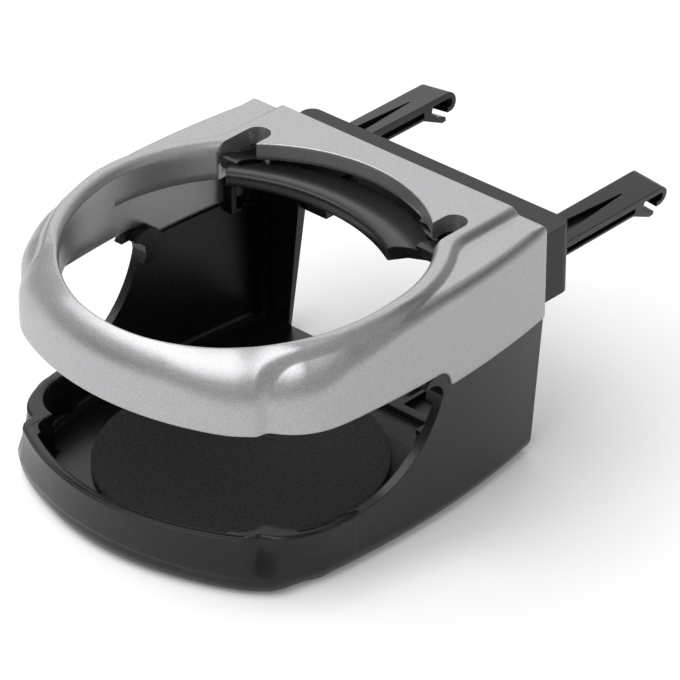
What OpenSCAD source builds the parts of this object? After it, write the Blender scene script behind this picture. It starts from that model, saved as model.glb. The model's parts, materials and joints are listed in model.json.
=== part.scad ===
// Can holder that hooks onto the slats of a car air vent.
// Millimetres. X runs across the holder, +Y points back towards the vent, Z is up.
// The origin is on the underside of the basket, on the axis of the can well.

/* [Body outline] */
// Overall height from the underside to the top of the ring cover
body_h = 56; // [52:1:64]
// Full width across the bulged sides
body_w = 88.2; // [87:0.2:97]
// Radius of the long bulged side curve, seen from above
side_r = 200; // [180:5:240]
// Distance behind the well axis of the widest point
side_y = 10; // [6:1:14]
// Radius of the front corners, seen from above
corner_r = 14; // [12:0.5:16]
// Distance in front of the well axis of the corner centres
corner_back = 15.5; // [14:0.5:17]
// Distance behind the well axis of the rear face of the cover
rear_y = 46.6; // [45.6:0.2:48]
// Width of the raised nose at the front
nose_w = 65; // [60:1:68]
// Radius of the nose, seen from above
nose_r = 63.4; // [58:0.5:70]
// Distance in front of the well axis reached by the nose
nose_y = 41.3; // [41:0.1:43]

/* [Ring cover] */
// Diameter of the can well opening
hole_d = 75.2; // [72:0.4:76]
// Distance of the well axis behind the origin
hole_y = 1.4; // [0.6:0.2:2]
// Width of the raised ring around the opening
ring_w = 3.9; // [3.4:0.1:4.2]
// Radius of the rolled inner rim
rim_r = 2.2; // [1.6:0.1:2.4]
// Step from the raised ring down to the shoulder
deck_drop = 1.5; // [1.2:0.1:2.2]
// Radius of the shoulder along the sides
shoulder_r = 4; // [3:0.5:6]
// Radius of the shoulder over the nose
nose_edge_r = 7.5; // [5:0.5:8]
// Radius that rounds the nose down towards its two sides
nose_side_r = 6.5; // [5:0.5:8]
// Downward slope of the front half of the ring, in degrees
front_tilt = 5; // [4:0.5:6]
// Wall thickness of the cover
cover_wall = 2.2; // [1.8:0.1:2.6]
// Lower edge of the cover beside the basket walls
cover_low = 33; // [31:0.5:35]
// Lower edge of the cover over the open front
cover_front_low = 37.1; // [36:0.1:38]
// Lower end of the round wall inside the front of the cover
front_wall_low = 35; // [34:0.5:37]
// Depth of the plain collar inside the opening
collar_d = 8.5; // [7:0.5:9]
// Thickness of the top plate behind the opening
plate_t = 4; // [3.5:0.1:4.5]
// Width of the raised plate behind the opening
plate_w = 64.6; // [62:0.2:66]
// Width of the two relief slots beside the flap
slot_w = 5.6; // [5.2:0.1:6]
// Half distance between the centre lines of the slots
slot_x = 27.2; // [27:0.1:27.6]
// Rear end of the slots behind the well axis
slot_y = 36.2; // [36:0.1:37]

/* [Basket] */
// Step in from the cover side to the basket side
basket_step = 0.5; // [0.4:0.1:1]
// Wall thickness of the basket
basket_wall = 2.2; // [2:0.1:2.4]
// Taper of the basket walls from top to bottom, per side
basket_draft = 1.5; // [1:0.1:2]
// Radius of the lower outside edge
basket_edge_r = 4; // [3:0.5:5]
// Thickness of the floor
floor_t = 3; // [2.8:0.1:3.4]
// Height of the front lip
lip_h = 13.2; // [11:0.2:16]
// Width of the nose of the basket
tray_w = 64; // [60:1:66]
// Radius of the nose of the basket, seen from above
tray_r = 58; // [54:1:64]
// Distance in front of the origin reached by the nose of the basket
tray_y = 42.3; // [41.5:0.1:43]
// Rearmost point of the side cut-outs behind the origin
cut_y = 13; // [11:0.5:14]
// Radius of the curved rear edge of the side cut-outs
cut_r = 25; // [22:0.5:26]
// Width of the opening in the rear wall
rear_gap = 52; // [48:1:54]
// Top of the skirt inside the cover, measured down from the top
skirt_drop = 14; // [14:0.5:16]

/* [Pad] */
// Diameter of the foam pad
pad_d = 62; // [54:1:63]
// Thickness of the foam pad
pad_t = 1.8; // [1.2:0.1:2.4]

/* [Flap] */
// Height of the flap pivot, measured down from the top
flap_drop = 7.4; // [7.2:0.1:7.6]
// Width of the barrel of the flap
flap_w = 59; // [58:0.5:59.4]
// Length of the pivot rod
rod_l = 65.8; // [65:0.1:66]
// Pivot distance behind the well axis
flap_y = 34.2; // [34:0.1:34.6]
// Diameter of the pivot rod
rod_d = 2; // [1.8:0.1:2.4]
// Radial clearance of the flap on its rod
pivot_gap = 0.05; // [0.03:0.01:0.08]
// Radius of the concave front edge of the flap
flap_r = 44.5; // [42:0.5:48]
// Distance from the well axis to the middle of the front edge
flap_front = 24.5; // [24:0.5:26]

/* [Rear housing] */
// Step in from the widest part of the body to the side of the housing
house_in = 7.7; // [7:0.1:9]
// Depth of the housing behind the cover
house_d = 13.2; // [12.5:0.1:14]
// Radius of its upright rear corners
house_r = 2.6; // [2:0.2:4]
// Top of the housing, measured down from the top of the cover
house_drop = 7.6; // [7.2:0.1:8]
// Height of the housing
house_h = 16; // [15.8:0.1:17]
// Wall thickness of the housing
house_wall = 2; // [1.8:0.1:2.2]

/* [Vent arms] */
// Distance of the turning axis of an arm from the side of the housing
arm_side_in = 6.8; // [6.8:0.1:7.4]
// Turning axis of the arms, measured down from the top of the housing
arm_drop = 8.1; // [7.8:0.1:8.4]
// Width of an arm
arm_w = 8.1; // [7.6:0.1:8.6]
// Thickness of an arm
arm_t = 3.5; // [3.2:0.1:4]
// Distance of the arm tips behind the well axis
arm_end = 94.4; // [88:0.4:100]
// Roll of the arms as set, in degrees
arm_roll = 7; // [0:1:10]
// Diameter of the journal of an arm
journal_d = 7; // [6.6:0.1:7.2]
// Radial clearance of the journal in its bore
journal_gap = 0.05; // [0.03:0.01:0.08]

/* [Support foot] */
// Width of the sliding foot
foot_w = 42.6; // [38:0.2:48]
// Length of the sliding foot
foot_l = 18; // [16:0.5:18.5]
// Side clearance of the sliding foot
foot_gap = 0.3; // [0.25:0.05:0.4]

/* [Hidden] */
$fn = 96;
crown_r = 150;
half_w = body_w / 2;
side_x = side_r - half_w;
corner_y = -corner_back;
corner_x = sqrt(pow(side_r - corner_r, 2) - pow(corner_y - side_y, 2)) - side_x;
nose_cy = nose_r - nose_y;
hole_r = hole_d / 2;
ring_r = hole_r + ring_w;
deck_z = body_h - deck_drop;
skin_in = cover_wall + 0.3;
house_top = body_h - house_drop;
house_low = house_top - house_h;
house_w = body_w - 2 * house_in;
arm_x = house_w / 2 - arm_side_in;
arm_z = house_top - arm_drop;
flap_z = body_h - flap_drop;
skirt_top = body_h - skirt_drop;
rear_open = house_w + 4.8;
boss_x = half_w - 7.1;
post_x = arm_x - 8.6;
boss_depth = 40;
basket_in = basket_step + basket_wall;
skirt_y = 36;
notch_y = 10.2;
notch_r = cover_front_low - cover_low;
skirt_in = skin_in + 2.2;
curl_z = cover_low - 1.6;
curl_y = sqrt(cut_r * cut_r - pow(lip_h + cut_r - curl_z, 2));
rod_r = rod_d / 2;
barrel_r = 2.5;
flap_cy = flap_front - flap_r;
rear_in = 2.4;
house_y0 = rear_y;
house_y1 = rear_y + house_d;
boss_y = house_y1 + 0.8;
rear_lean = 1.6;
coil_r = 1.5;
wire_r = 0.4;
arm_top = 1.8;
arm_y0 = boss_y + 0.05;
tip_r = 2.2;
cap_y = house_y1 - 4.9;
screw_r = 1.2;
peg_r = 1.4;
house_screws = [[-12, house_top - 3.8], [12, house_top - 3.8]];
peg_x = house_w / 2 - 3.2;
house_pegs = [[-peg_x, house_low + 2.6], [peg_x, house_low + 2.6]];
plate_x = foot_w / 2 + 2.1;
plate_y0 = 22.2;
plate_l = 21.6;
plate_rows = [plate_y0 + 2.4, plate_y0 + plate_l - 3.2];
plate_screws = [for (x = [-plate_x, plate_x]) for (y = plate_rows) [x, y]];
journal_r = journal_d / 2;
foot_y0 = 27.4;

// Flat section of a disc with a tapered side and a rounded lower edge.
module section_low(r0, r1, z0, z1, rb) {
    polygon([[0, z0], [r0 - rb, z0], [r0 - rb, z0 + rb], [r0, z0 + rb], [r1, z1], [0, z1]]);
    translate([r0 - rb, z0 + rb]) circle(r = rb);
}

// Flat section of a disc with a tapered side and a rounded upper edge.
module section_high(r0, r1, z0, z1, rt) {
    polygon([[0, z0], [r0, z0], [r1, z1 - rt], [r1 - rt, z1 - rt], [r1 - rt, z1], [0, z1]]);
    translate([r1 - rt, z1 - rt]) circle(r = rt);
}

// Flat section of a plain tapered disc.
module section_plain(r0, r1, z0, z1) {
    polygon([[0, z0], [r0, z0], [r1, z1], [0, z1]]);
}

// Body of the outline without the nose: two long side curves and two round front corners.
// e is the step in from the outline; kind 0 plain, 1 rounded below, 2 rounded above.
module hull_body(e, z0, z1, taper, edge, kind, back) {
    intersection() {
        for_side(-1, e, z0, z1, taper, edge, kind);
        for_side(1, e, z0, z1, taper, edge, kind);
        translate([-60, corner_y, z0 - 1]) cube([120, back - corner_y, z1 - z0 + 2]);
    }
    for (s = [-1, 1]) translate([s * corner_x, corner_y, 0])
        rotate_extrude() disc_section(corner_r - e, z0, z1, taper, edge, kind);
    translate([-corner_x, corner_y - corner_r + e + taper + 1, z0 + (kind == 1 ? edge : 0)])
        cube([2 * corner_x, corner_r - e - taper, z1 - z0 - edge]);
    translate([-corner_x, corner_y - corner_r + e + taper + edge, z0])
        cube([2 * corner_x, corner_r - e - taper - edge + 1, z1 - z0]);
}

module for_side(s, e, z0, z1, taper, edge, kind) {
    translate([s * side_x, side_y, 0])
        rotate_extrude() disc_section(side_r - e, z0, z1, taper, edge, kind);
}

module disc_section(r, z0, z1, taper, edge, kind) {
    if (kind == 0) section_plain(r - taper, r, z0, z1);
    if (kind == 1) section_low(r - taper, r, z0, z1, edge);
    if (kind == 2) section_high(r, r, z0, z1, edge);
}

// Nose of the outline, standing straight, with broken corners.
// r is its radius seen from above, y its reach ahead of the origin, w its width.
module nose_body(r, y, w, z0, z1, taper, edge, kind) {
    intersection() {
        translate([0, r - y, 0]) rotate_extrude() disc_section(r, z0, z1, taper, edge, kind);
        translate([0, 0, z0 - 1]) linear_extrude(z1 - z0 + 2) nose_plan(w / 2, y - 11.6);
    }
}

// Plan of the nose: half width h, corners starting at the distance c ahead of the origin.
module nose_plan(h, c) {
    polygon([[-h, -12], [-h, -c], [0.4 - h, -c - 1.6], [1.6 - h, -c - 2.9], [3.1 - h, -c - 3.7], [5 - h, -c - 15],
             [h - 5, -c - 15], [h - 3.1, -c - 3.7], [h - 1.6, -c - 2.9], [h - 0.4, -c - 1.6], [h, -c], [h, -12]]);
}

// Turns the front half of the ring down about the cross line over the well axis.
module tilted() {
    translate([0, hole_y, body_h]) rotate([front_tilt, 0, 0]) translate([0, -hole_y, -body_h]) children();
}

// Half space in front of or behind the fold between the level and the sloping ring.
module front_half() {
    translate([0, hole_y, body_h]) rotate([front_tilt / 2, 0, 0]) translate([-60, -80, -60]) cube([120, 80, 120]);
}

module rear_half() {
    translate([0, hole_y, body_h]) rotate([front_tilt / 2, 0, 0]) translate([-60, 0, -60]) cube([120, 80, 120]);
}

module rim_cutter() {
    translate([0, hole_y, 0]) rotate_extrude() difference() {
        translate([hole_r - 1, body_h - rim_r]) square([rim_r + 1, rim_r + 1]);
        translate([hole_r + rim_r, body_h - rim_r]) circle(r = rim_r);
    }
}

// Lower deck with its rounded shoulders, crowned down towards the front.
module deck() {
    difference() {
        hull_body(0, cover_low, deck_z, 0, shoulder_r, 2, rear_y);
        difference() {
            translate([-60, -60, 40]) cube([120, 66, 30]);
            translate([-61, 6, deck_z - crown_r]) rotate([0, 90, 0]) cylinder(r = crown_r, h = 122);
        }
    }
}

// Nose, leaning so that its face stands upright once it is turned down.
module leaning_nose() {
    intersection() {
        translate([0, nose_cy, 0]) rotate_extrude()
            section_high(nose_r + 1.75, nose_r, cover_front_low - 6, body_h, nose_edge_r);
        translate([0, -14, 0]) rotate([90, 0, 0]) linear_extrude(nose_y - 8) nose_front();
    }
}

// Front view of the nose with its two rounded upper corners.
module nose_front() {
    translate([-nose_w / 2, 0]) square([nose_w, body_h - nose_side_r]);
    translate([-nose_w / 2 + nose_side_r, 0]) square([nose_w - 2 * nose_side_r, body_h + 5]);
    for (s = [-1, 1]) translate([s * (nose_w / 2 - nose_side_r), body_h - nose_side_r]) circle(r = nose_side_r);
}

// Rolled inner rim, level behind the fold and turned down ahead of it.
module rim_roll() {
    union() {
        intersection() {
            rear_half();
            rim_cutter();
            translate([-60, -60, 0]) cube([120, 60 + 26, 80]);
        }
        intersection() {
            front_half();
            tilted() rim_cutter();
        }
    }
}

module ring_disc() {
    translate([0, hole_y, cover_low + 10]) rotate([0, 0, 90]) cylinder(r = ring_r, h = body_h - cover_low - 10);
}

module cover_outside() {
    deck();
    translate([-plate_w / 2, 20, cover_low + 10]) cube([plate_w, rear_y - 20, body_h - cover_low - 10]);
    intersection() {
        rear_half();
        ring_disc();
    }
    intersection() {
        front_half();
        tilted() union() {
            ring_disc();
            leaning_nose();
        }
    }
}

// Side view of what is cut from the lower edge ahead of the basket walls.
module front_step() {
    translate([-60, 0, 0]) rotate([90, 0, 90]) linear_extrude(120) union() {
        translate([-60, 0]) square([60 + notch_y, cover_front_low]);
        translate([notch_y, cover_low]) circle(r = notch_r);
    }
}

module cover() {
    color([0.71, 0.71, 0.72])
    difference() {
        cover_outside();
        front_step();
        translate([0, hole_y, -1]) cylinder(r = hole_r, h = body_h + 10);
        rim_roll();
        cover_inside();
        cover_front_inside();
        for (s = [-1, 1]) slot_cut(s);
        // open rear below the top plate
        translate([-rear_open / 2, rear_y - rear_in - 1, 0]) cube([rear_open, rear_in + 2, house_top + 0.2]);
        for (s = [-1, 1]) translate([s * boss_x, boss_depth, skirt_top - 2]) cylinder(r = screw_r, h = 10.6);
        // seats of the pivot rod
        translate([-rod_l / 2 - 0.1, flap_y, flap_z]) rotate([0, 90, 0]) cylinder(r = rod_r, h = rod_l + 0.2);
    }
}

module cover_inside() {
    difference() {
        intersection() {
            hull_body(cover_wall, 0, body_h - plate_t, 0, 0.5, 0, rear_y - rear_in);
            translate([-60, 1.4, 0]) cube([120, 60, 80]);
        }
        // collar around the opening
        difference() {
            translate([0, hole_y, body_h - collar_d]) cylinder(r = hole_r + 2, h = 30);
            translate([-slot_x, 20, 0]) cube([2 * slot_x, 60, 80]);
        }
        // bosses for the screws
        for (s = [-1, 1]) translate([s * boss_x, boss_depth, skirt_top + 0.3]) cylinder(r = 3.2, h = 30);
        // rod blocks beside the slots
        for (s = [-1, 1]) translate([s * (rod_l / 2 - 0.5) - 2.2, flap_y - 3, flap_z - 3]) cube([4.4, 6, 20]);
    }
}

// Hollow underside of the front of the cover, with a few ribs between the two walls.
module cover_front_inside() {
    difference() {
        intersection() {
            union() {
                hull_body(cover_wall, 30, 47, 0, 0.5, 0, 10);
                nose_body(nose_r - cover_wall, nose_y - cover_wall, nose_w - 2 * cover_wall, 30, 47, 0, 0.5, 0);
            }
            translate([-60, -60, 0]) cube([120, 61.4, 47]);
        }
        translate([0, hole_y, front_wall_low]) cylinder(r = hole_r + 2, h = 30);
        for (a = [-150, -120, -60, -30]) translate([0, hole_y, 0]) rotate([0, 0, a]) translate([hole_r, -0.6, 40]) cube([20, 1.2, 20]);
    }
}

module slot_cut(s) {
    translate([s * slot_x - slot_w / 2, 20, body_h - 20]) cube([slot_w, slot_y - slot_w / 2 - 20, 30]);
    translate([s * slot_x, slot_y - slot_w / 2, body_h - 20]) cylinder(r = slot_w / 2, h = 30);
}

// Side view of the cut-outs in the basket walls.
module side_view_cut() {
    translate([-60, lip_h]) square([60 + cut_y - cut_r, 30]);
    intersection() {
        translate([cut_y - cut_r, lip_h + cut_r]) circle(r = cut_r);
        translate([cut_y - cut_r - 1, 0]) square([cut_r + 10, curl_z]);
    }
    translate([cut_y - cut_r, curl_z])
        polygon([[-1, -2], [curl_y - 1.2, -2], [curl_y - 0.05, 0], [curl_y - 0.3, 1.6], [curl_y - 1.3, 2.8],
                 [curl_y - 2.9, 3.5], [-1, 3.5]]);
}

module basket_outside() {
    hull_body(basket_step, 0, cover_low, basket_draft, basket_edge_r, 1, rear_y);
    nose_body(tray_r, tray_y, tray_w, 0, lip_h, 0.2, basket_edge_r, 1);
    // skirt inside the rear corners of the cover
    intersection() {
        hull_body(skin_in, cover_low - 2, skirt_top, 0, 0.5, 0, rear_y);
        translate([-60, skirt_y, 0]) cube([120, 60, 80]);
    }
    // horns that curl forward under the lower edge of the cover
    intersection() {
        hull_body(basket_step, cover_low - 2, cover_front_low + 1, 0, 0.5, 0, rear_y);
        translate([-60, notch_y, cover_low]) rotate([0, 90, 0]) cylinder(r = notch_r - 0.1, h = 120);
    }
    translate([-rear_open / 2 + 0.4, rear_y - rear_in, cover_low - 4]) cube([rear_open - 0.8, rear_in, house_top - 0.2 - cover_low + 4]);
}

module basket_inside() {
    hull_body(basket_in, floor_t, cover_low - 1.8, basket_draft * 0.85, 2, 1, rear_y - rear_in);
    hull_body(basket_in, cover_low - 2.2, 70, 0, 0.5, 0, skirt_y);
    hull_body(skirt_in, cover_low - 3, 70, 0, 0.5, 0, rear_y - rear_in);
    nose_body(tray_r - basket_wall, tray_y - basket_wall, tray_w - 2 * basket_wall, floor_t, lip_h + 1, 0.5, 2, 1);
}

module basket() {
    color([0.06, 0.06, 0.065])
    difference() {
        union() {
            difference() {
                basket_outside();
                basket_inside();
            }
            // tabs that carry the horns, inside the wall of the cover
            intersection() {
                difference() {
                    hull_body(skin_in, cover_low - 4, cover_low + 5, 0, 0.5, 0, rear_y);
                    hull_body(skirt_in, cover_low - 5, cover_low + 6, 0, 0.5, 0, rear_y);
                }
                translate([-60, notch_y + 2.4, cover_low]) rotate([0, 90, 0]) cylinder(r = notch_r, h = 120);
            }
            // corner tabs under the cover bosses
            for (s = [-1, 1]) intersection() {
                translate([s * (boss_x - 0.8) - 4, 36, skirt_top - 2.4]) cube([8, rear_y - rear_in - 35.5, 2.7]);
                hull_body(skin_in + 1, skirt_top - 3, skirt_top + 1, 0, 0.5, 0, rear_y);
            }
            // upright ribs in the rear corners
            for (s = [-1, 1]) translate([s * (boss_x - 2.4) - 0.9, rear_y - rear_in - 1.6, floor_t - 0.5]) cube([1.8, 2, skirt_top - floor_t - 2]);
            // lips over the sliding foot
            for (s = [-1, 1]) translate([s * (foot_w / 2 - 0.2) - 1.8, 31, floor_t - 0.2]) cube([3.6, 12.4, 1.2]);
        }
        translate([-60, 0, 0]) rotate([90, 0, 90]) linear_extrude(120) side_view_cut();
        // leaning rear face
        translate([-60, 0, 0]) rotate([90, 0, 90]) linear_extrude(120)
            polygon([[rear_y, cover_low - 0.5], [rear_y + 5, cover_low - 0.5], [rear_y + 5, -1], [rear_y - rear_lean, -1]]);
        // opening in the rear wall
        translate([0, rear_y + 5, 0]) rotate([90, 0, 0]) linear_extrude(12)
            polygon([[-rear_gap / 2 - 3, floor_t], [rear_gap / 2 + 3, floor_t], [rear_gap / 2, 33],
                     [rear_gap / 2, house_top - 8], [-rear_gap / 2, house_top - 8], [-rear_gap / 2, 33]]);
        // slot of the foot and seat of its cover plate
        translate([-foot_w / 2 - foot_gap, foot_y0 - 0.3, 1]) cube([foot_w + 2 * foot_gap, 22, floor_t - 1.2]);
        translate([-foot_w / 2 + 1.7, foot_y0 - 0.3, 1]) cube([foot_w - 3.4, 22, 10]);
        for (s = [-1, 1]) translate([s * (foot_w / 2 + foot_gap) - (s > 0 ? 5 : 0), foot_y0 - 0.3, 1]) cube([5, 3.9, 10]);
        translate([-foot_w / 2 - 3.9, plate_y0 - 0.2, -1]) cube([foot_w + 7.8, plate_l + 10, 2]);
        for (p = plate_screws) translate([p[0], p[1], 0]) cylinder(r = 1, h = 2.7);
        for (p = house_screws) translate([p[0], rear_y - 4, p[1]]) rotate([-90, 0, 0]) cylinder(r = screw_r + 0.1, h = 8);
        for (p = house_pegs) translate([p[0], rear_y - 1.6, p[1]]) rotate([-90, 0, 0]) cylinder(r = peg_r, h = 5);
        for (s = [-1, 1]) translate([s * boss_x, boss_depth, 0]) {
            translate([0, 0, 30]) cylinder(r = screw_r + 0.1, h = 20);
            translate([0, 0, cover_low - 1]) cylinder(r = 2.6, h = skirt_top - 2.4 - cover_low + 1);
        }
    }
}

module pad() {
    color([0.13, 0.13, 0.13])
    translate([0, -1, floor_t]) cylinder(d = pad_d, h = pad_t);
}

// Crescent flap that hangs on the rod and steadies the can.
module flap_section() {
    translate([flap_r, body_h])
        polygon([[0, -4.6], [0, -2.7], [0.6, -2], [1.9, -1.7], [4.5, -2.3], [7.5, -3.6], [10, -4.6], [13.8, -5],
                 [13.8, -6.7], [9.5, -6.5], [6, -5], [3, -3.8], [1.8, -3.8], [1.6, -4.6]]);
}

module flap_plan() {
    intersection() {
        union() {
            translate([0, hole_y, 30]) cylinder(r = hole_r - 0.7, h = 40);
            for (s = [-1, 1]) translate([s * slot_x - slot_w / 2 + 0.5, 10, 30]) cube([slot_w - 1, slot_y - 10.5, 40]);
        }
        translate([0, 0, 30]) linear_extrude(40)
            polygon([[-29.5, 45], [-29.5, 30.5], [-28, 27.4], [-22.8, 19.2], [-20.6, 17.4], [20.6, 17.4],
                     [22.8, 19.2], [28, 27.4], [29.5, 30.5], [29.5, 45]]);
    }
}

module flap() {
    color([0.08, 0.08, 0.085])
    difference() {
        union() {
            intersection() {
                translate([0, flap_cy, 0]) rotate_extrude() flap_section();
                flap_plan();
            }
            translate([-flap_w / 2, flap_y, flap_z]) rotate([0, 90, 0]) cylinder(r = barrel_r, h = flap_w);
            for (s = [-1, 1]) translate([s * slot_x - slot_w / 2 + 0.5, 0, 0]) rotate([90, 0, 90])
                linear_extrude(slot_w - 1)
                    translate([0, body_h])
                        polygon([[25.5, -4.6], [25.5, -2.6], [28, -2.7], [33.5, -4.4], [35.6, -5.4], [35.6, -7.4],
                                 [32.2, -7.4], [28, -4.8]]);
        }
        translate([-flap_w, flap_y, flap_z]) rotate([0, 90, 0]) cylinder(r = rod_r + pivot_gap, h = 2 * flap_w);
        translate([-6, flap_y, flap_z]) rotate([0, 90, 0]) cylinder(r = 2, h = 12);
        translate([-6, flap_y - 4, flap_z - 6]) cube([12, 8, 6]);
    }
}

module flap_rod() {
    color([0.55, 0.55, 0.56])
    translate([-rod_l / 2, flap_y, flap_z]) rotate([0, 90, 0]) cylinder(r = rod_r, h = rod_l);
}

// Close-wound spring on the rod with one arm under the flap.
module flap_spring() {
    color([0.6, 0.6, 0.62])
    translate([0, flap_y, flap_z]) {
        rotate([0, 90, 0]) rotate_extrude() {
            for (i = [-4:4]) translate([coil_r, i * 2 * wire_r * 1.3]) circle(r = wire_r, $fn = 24);
            translate([coil_r - 0.15, -4.7]) square([0.3, 9.4]);
        }
        translate([4.6, 0, -coil_r]) rotate([78, 0, 0]) cylinder(r = wire_r, h = 5.5, $fn = 24);
    }
}

module housing_plan() {
    translate([-house_w / 2, house_y0]) square([house_w, house_d - house_r]);
    translate([-house_w / 2 + house_r, house_y0]) square([house_w - 2 * house_r, house_d]);
    for (s = [-1, 1]) translate([s * (house_w / 2 - house_r), house_y1 - house_r]) circle(r = house_r);
}

module housing() {
    color([0.09, 0.09, 0.095])
    difference() {
        union() {
            difference() {
                translate([0, 0, house_low]) linear_extrude(house_top - house_low) housing_plan();
                translate([-house_w / 2 + house_wall, house_y0 - 1, house_low + house_wall])
                    cube([house_w - 2 * house_wall, house_d - 1.2, house_top - house_low - 2 * house_wall]);
                translate([-20, house_y0 - 1, house_low - 1]) cube([40, house_d - 1.2, 4]);
            }
            for (s = [-1, 1]) {
                translate([s * post_x - 1, house_y0, house_low]) cube([2, house_d - 1, house_top - house_low - 1]);
                translate([s * arm_x, house_y1 - 4.2, arm_z]) rotate([-90, 0, 0]) cylinder(r = 5, h = 5);
            }
            for (p = house_screws) translate([p[0], house_y0, p[1]]) rotate([-90, 0, 0]) cylinder(r = 2.2, h = house_d - 1);
            // pegs that enter the rear wall of the basket
            for (p = house_pegs) translate([p[0], house_y0 - 1.5, p[1]]) rotate([-90, 0, 0]) cylinder(r = peg_r, h = 8);
            for (s = [-1, 1]) translate([s * (peg_x + 1) - 1.2, house_y0, house_low]) cube([2.4, house_d - 5, 4.4]);
        }
        for (s = [-1, 1]) translate([s * arm_x, house_y0, arm_z]) rotate([-90, 0, 0]) cylinder(r = journal_r + journal_gap, h = house_d + 3);
        for (p = house_screws) translate([p[0], house_y0 - 1, p[1]]) rotate([-90, 0, 0]) cylinder(r = screw_r, h = 9);
    }
}

// Side view of an arm, measured from its turning axis.
module arm_side() {
    translate([arm_y0, -arm_t + arm_top]) square([arm_end - tip_r - arm_y0, arm_t]);
    translate([arm_end - tip_r, arm_top - tip_r]) circle(r = tip_r);
    translate([arm_end - 4.4, arm_top - 2 * tip_r]) square([4.4 - tip_r, 2 * tip_r]);
    polygon([[83.6, -1], [83.6, arm_top - arm_t], [89.4, -4.4], [90.6, -4.3], [90.7, -3.4], [88, -2.4], [87, -1]]);
}

module arm_inner_side() {
    translate([87, -1.5]) square([arm_end - tip_r - 87, 2]);
    translate([arm_end - tip_r, -0.5]) circle(r = 1);
    polygon([[87, -1.6], [86.4, -0.9], [87, 0.4], [92, 0.4], [91.3, -2.8], [90.6, -2.9]]);
}

module arm_blank() {
    difference() {
        translate([-arm_w / 2, 0, 0]) rotate([90, 0, 90]) linear_extrude(arm_w) arm_side();
        translate([-arm_w, 0, 0]) rotate([90, 0, 90]) linear_extrude(2 * arm_w) arm_inner_side();
        // long recesses in both sides
        for (s = [-1, 1]) translate([s * (arm_w / 2 + 1) - 2.2, arm_y0 - 1, -1.1]) cube([4.4, 85 - arm_y0, 1.3]);
        // wedge shaped groove on top
        translate([0, 0, arm_top - 1.3]) linear_extrude(3) polygon([[-2, arm_y0 - 1], [2, arm_y0 - 1], [0.15, 84], [-0.15, 84]]);
    }
    translate([0, cap_y, 0]) rotate([-90, 0, 0]) cylinder(r = journal_r, h = arm_y0 - cap_y + 0.01);
    translate([0, cap_y - 2.6, 0]) rotate([-90, 0, 0]) cylinder(r = 2, h = 3);
}

module vent_arm(s) {
    color([0.09, 0.09, 0.095])
    translate([s * arm_x, 0, arm_z]) rotate([0, s * arm_roll, 0]) arm_blank();
}

module left_arm() { vent_arm(-1); }
module right_arm() { vent_arm(1); }

module washer(s) {
    color([0.62, 0.62, 0.64])
    translate([s * arm_x, cap_y, arm_z]) rotate([-90, 0, 0]) difference() {
        cylinder(r = 4.6, h = 0.7);
        translate([0, 0, -1]) cylinder(r = journal_r + 0.1, h = 3);
    }
}

module left_washer() { washer(-1); }
module right_washer() { washer(1); }

module cap(s) {
    color([0.12, 0.12, 0.125])
    translate([s * arm_x, cap_y - 2.4, arm_z]) rotate([-90, 0, 0]) difference() {
        cylinder(r = 4.3, h = 2.4);
        translate([0, 0, -1]) cylinder(r = 2, h = 5);
    }
}

module left_cap() { cap(-1); }
module right_cap() { cap(1); }

// Round-headed screw pointing up; the seat of the head is at the origin.
module screw(l) {
    cylinder(r = screw_r, h = l);
    difference() {
        translate([0, 0, -1.6]) cylinder(r = 2.3, h = 1.6);
        for (a = [0, 90]) rotate([0, 0, a]) translate([-1.4, -0.3, -2]) cube([2.8, 0.6, 1.2]);
    }
}

module housing_screws() {
    color([0.5, 0.5, 0.52])
    for (p = house_screws) translate([p[0], rear_y - rear_in, p[1]]) rotate([-90, 0, 0]) screw(8);
}

module cover_screws() {
    color([0.5, 0.5, 0.52])
    for (s = [-1, 1]) translate([s * boss_x, boss_depth, skirt_top - 2.4]) screw(9);
}

module foot() {
    color([0.09, 0.09, 0.095])
    difference() {
        union() {
            translate([-foot_w / 2, foot_y0, 1]) cube([foot_w, foot_l, 1.5]);
            translate([-foot_w / 2 + 2.7, foot_y0 + 7.4, 1]) cube([foot_w - 5.4, foot_l - 7.4, 2.7]);
        }
        translate([-9.9, foot_y0 + 11, 2.1]) cube([19.8, 5.6, 4]);
        for (s = [-1, 1]) translate([s * 14 - 3.2, foot_y0 + 9.6, 2.1]) cube([6.4, 7, 4]);
        translate([-foot_w / 2 + 2.6, foot_y0 + 6.9, 2]) cube([foot_w - 5.2, 0.6, 2]);
    }
}

module foot_tip() {
    color([0.05, 0.05, 0.05])
    translate([-15, foot_y0 + foot_l, 1]) cube([30, 2, 2.7]);
}

module foot_plate() {
    color([0.08, 0.08, 0.085])
    difference() {
        translate([-foot_w / 2 - 3.7, plate_y0, 0]) cube([foot_w + 7.4, plate_l, 1]);
        for (p = plate_screws) translate([p[0], p[1], -1]) cylinder(r = 1, h = 4);
        for (p = plate_screws) translate([p[0], p[1], -0.01]) cylinder(r1 = 1.8, r2 = 1, h = 0.81);
    }
}

module foot_screws() {
    color([0.5, 0.5, 0.52])
    for (p = plate_screws) translate([p[0], p[1], 0]) {
        cylinder(r = 1, h = 2.6);
        cylinder(r1 = 1.78, r2 = 1, h = 0.78);
    }
}

cover();
basket();
pad();
flap();
flap_rod();
flap_spring();
housing();
left_arm();
right_arm();
left_washer();
right_washer();
left_cap();
right_cap();
housing_screws();
cover_screws();
foot();
foot_tip();
foot_plate();
foot_screws();
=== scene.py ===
"""Looks of the can holder: its materials, the pieces that flow more finely than the solids, and the studio.

Lengths are in millimetres in the part's frame: X across the holder, +Y back towards the vent, Z up.
"""
import json
import math

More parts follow.
